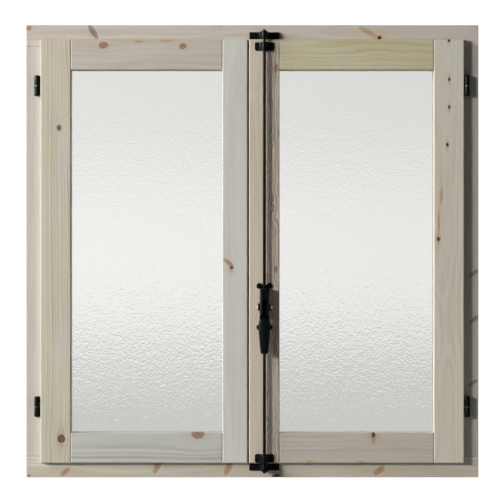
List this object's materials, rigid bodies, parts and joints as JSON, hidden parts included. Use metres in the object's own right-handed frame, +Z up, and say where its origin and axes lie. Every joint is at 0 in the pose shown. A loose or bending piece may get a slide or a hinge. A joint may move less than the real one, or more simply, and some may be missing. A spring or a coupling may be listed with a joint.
{
  "type": "casement window",
  "caption": "Two-sash softwood casement window in its fixed frame, with obscure glass, screw-in barrel hinges and a surface lever bolt whose two rods lock into head and sill.",
  "frame": {"origin": "centre of the sill's underside, at mid depth of the fixed frame", "axes": "+X to the right seen from the room, +Y towards outdoors, +Z up; the sashes swing towards -Y"},
  "size_m": [1, 0.1057, 1],
  "materials": {
    "frame_wood": "bare planed pine",
    "sash_wood": "bare planed pine",
    "bead_wood": "bare planed pine",
    "peg_wood": "beech dowel",
    "obscure_glass": "stippled obscure glass",
    "glazing_seal": "matt",
    "black_metal": "black satin powder coat",
    "grip_black": "black satin powder coat",
    "bright_steel": "bright zinc plated",
    "brass_washer": "turned"
  },
  "bodies": {
    "frame": {"bottom_keeper": "black_metal", "frame_corner_pegs": "peg_wood", "frame_head": "frame_wood", "frame_jamb_left": "frame_wood", "frame_jamb_right": "frame_wood", "frame_sill": "frame_wood", "hinge_pins": "bright_steel", "hinge_washers": "brass_washer", "keeper_screws": "black_metal", "left_bottom_hinge_lower": "black_metal", "left_top_hinge_lower": "black_metal", "right_bottom_hinge_lower": "black_metal", "right_top_hinge_lower": "black_metal", "top_keeper": "black_metal"},
    "left_sash": {"left_bead_bottom": "bead_wood", "left_bead_left": "bead_wood", "left_bead_pins": "bright_steel", "left_bead_right": "bead_wood", "left_bead_top": "bead_wood", "left_bottom_hinge_upper": "black_metal", "left_bottom_rail": "sash_wood", "left_glass": "obscure_glass", "left_glass_seal": "glazing_seal", "left_hinge_stile": "sash_wood", "left_meeting_stile": "sash_wood", "left_sash_pegs": "peg_wood", "left_top_hinge_upper": "black_metal", "left_top_rail": "sash_wood", "left_weatherboard": "sash_wood"},
    "right_sash": {"guide_screws": "black_metal", "lever_base_plate": "black_metal", "lever_base_screws": "black_metal", "lever_housing": "black_metal", "lever_pivot_pin": "bright_steel", "lower_guide": "black_metal", "right_bead_bottom": "bead_wood", "right_bead_left": "bead_wood", "right_bead_pins": "bright_steel", "right_bead_right": "bead_wood", "right_bead_top": "bead_wood", "right_bottom_hinge_upper": "black_metal", "right_bottom_rail": "sash_wood", "right_glass": "obscure_glass", "right_glass_seal": "glazing_seal", "right_hinge_stile": "sash_wood", "right_meeting_stile": "sash_wood", "right_sash_pegs": "peg_wood", "right_top_hinge_upper": "black_metal", "right_top_rail": "sash_wood", "right_weatherboard": "sash_wood", "upper_guide": "black_metal"},
    "lever": {"drive_pins": "bright_steel", "lever_arm": "black_metal", "lever_grip": "grip_black"},
    "upper_rod": {"upper_rod": "black_metal", "upper_rod_fork": "black_metal"},
    "lower_rod": {"lower_rod": "black_metal", "lower_rod_fork": "black_metal"}
  },
  "joints": [
    {"name": "left_sash_swing", "type": "hinge", "parent": "frame", "child": "left_sash", "pos_m": [-0.4745, -0.03625, 0.5], "axis": [0, 0, -1], "range_deg": [0, 165]},
    {"name": "right_sash_swing", "type": "hinge", "parent": "frame", "child": "right_sash", "pos_m": [0.4745, -0.03625, 0.5], "axis": [0, 0, 1], "range_deg": [0, 165]},
    {"name": "lever_turn", "type": "hinge", "parent": "right_sash", "child": "lever", "pos_m": [0.0265, -0.06021, 0.3774], "axis": [-1, 0, 0], "range_deg": [0, 110]},
    {"name": "upper_rod_slide", "type": "slide", "parent": "right_sash", "child": "upper_rod", "axis": [0, 0, 1], "range_m": [-0.02, 0]},
    {"name": "lower_rod_slide", "type": "slide", "parent": "right_sash", "child": "lower_rod", "axis": [0, 0, 1], "range_m": [0, 0.02]}
  ],
  "couplings": [
    {"joint": "upper_rod_slide", "follows": "lever_turn", "m_per_rad": -0.010417},
    {"joint": "lower_rod_slide", "follows": "lever_turn", "m_per_rad": 0.010417}
  ]
}
